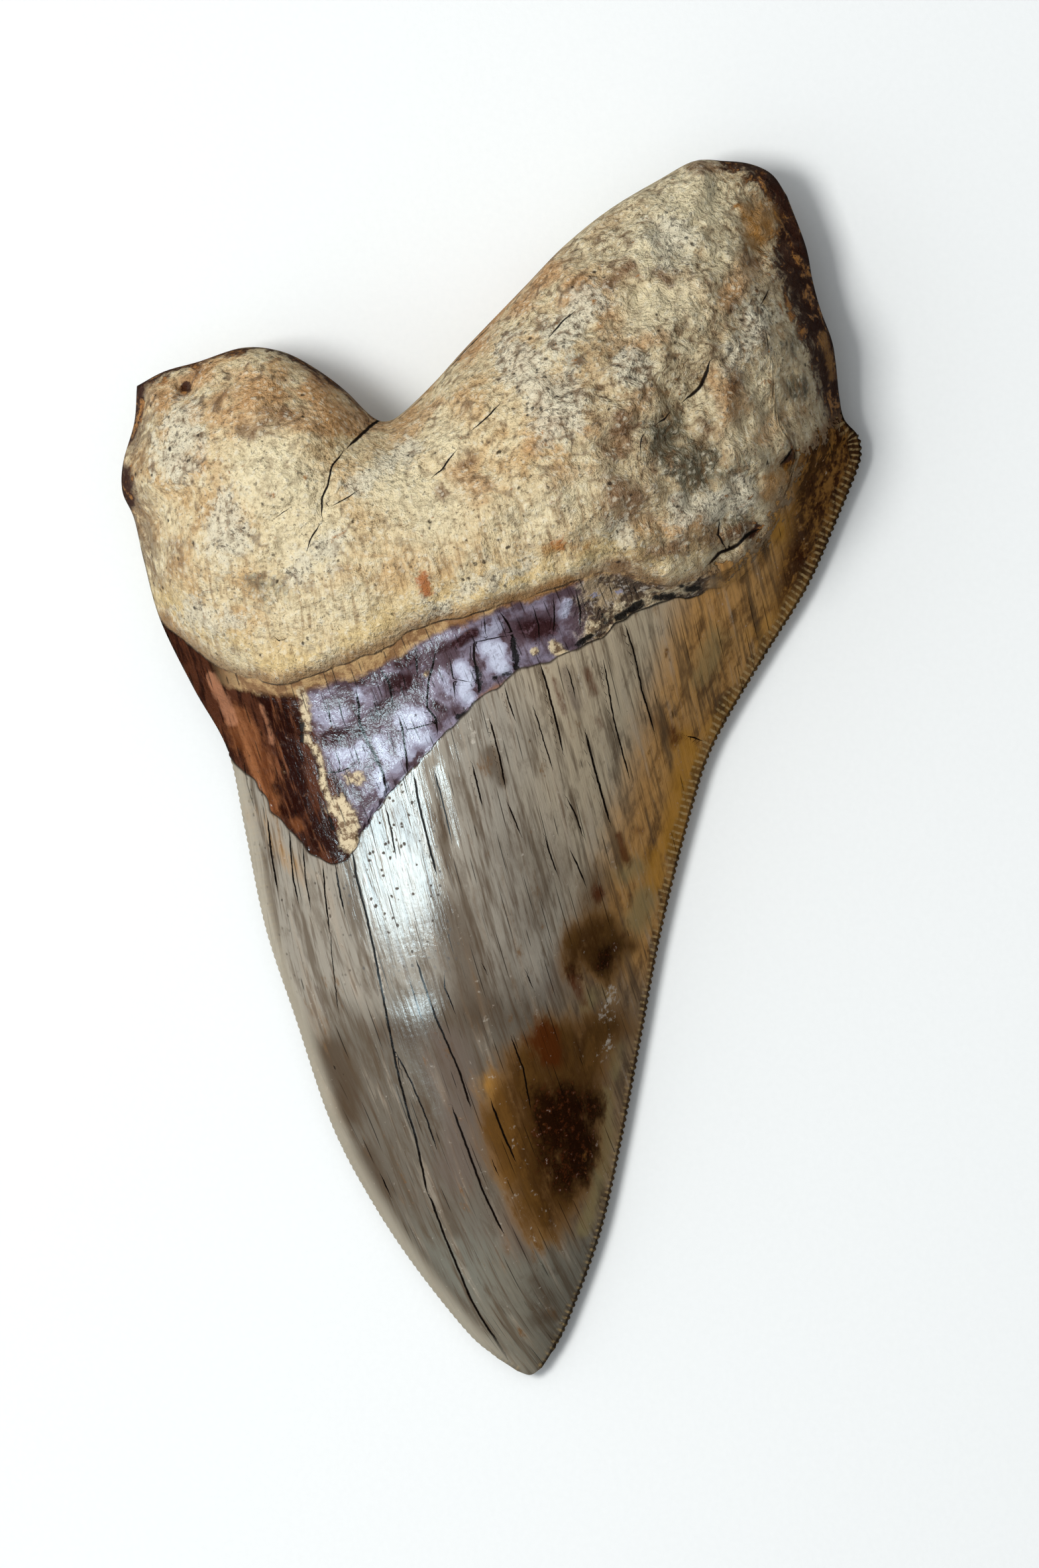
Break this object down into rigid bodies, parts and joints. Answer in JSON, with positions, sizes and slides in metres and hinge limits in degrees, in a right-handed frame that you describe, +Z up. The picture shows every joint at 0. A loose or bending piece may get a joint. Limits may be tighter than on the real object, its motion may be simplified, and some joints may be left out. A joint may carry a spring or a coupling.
{
  "type": "megalodon tooth",
  "caption": "Fossil shark tooth lying on its flatter face: glossy serrated crown, dark band at its base and a thick porous root with lobes either side of a notch.",
  "frame": {"origin": "middle of the tooth's plan, on the surface that it lies on", "axes": "+Y along the tooth, from the crown's tip to the root's lobes; +Z up, out of the rounded inner face; +X to the right when seen from above with the tip towards the viewer"},
  "size_m": [0.0762, 0.122, 0.0288],
  "materials": {
    "fossil_tooth": "Mineralised tooth: glossy grey enamel with brown stains, dark glossy band, matt porous cream root"
  },
  "bodies": {
    "root": {"tooth": "fossil_tooth"}
  },
  "joints": []
}
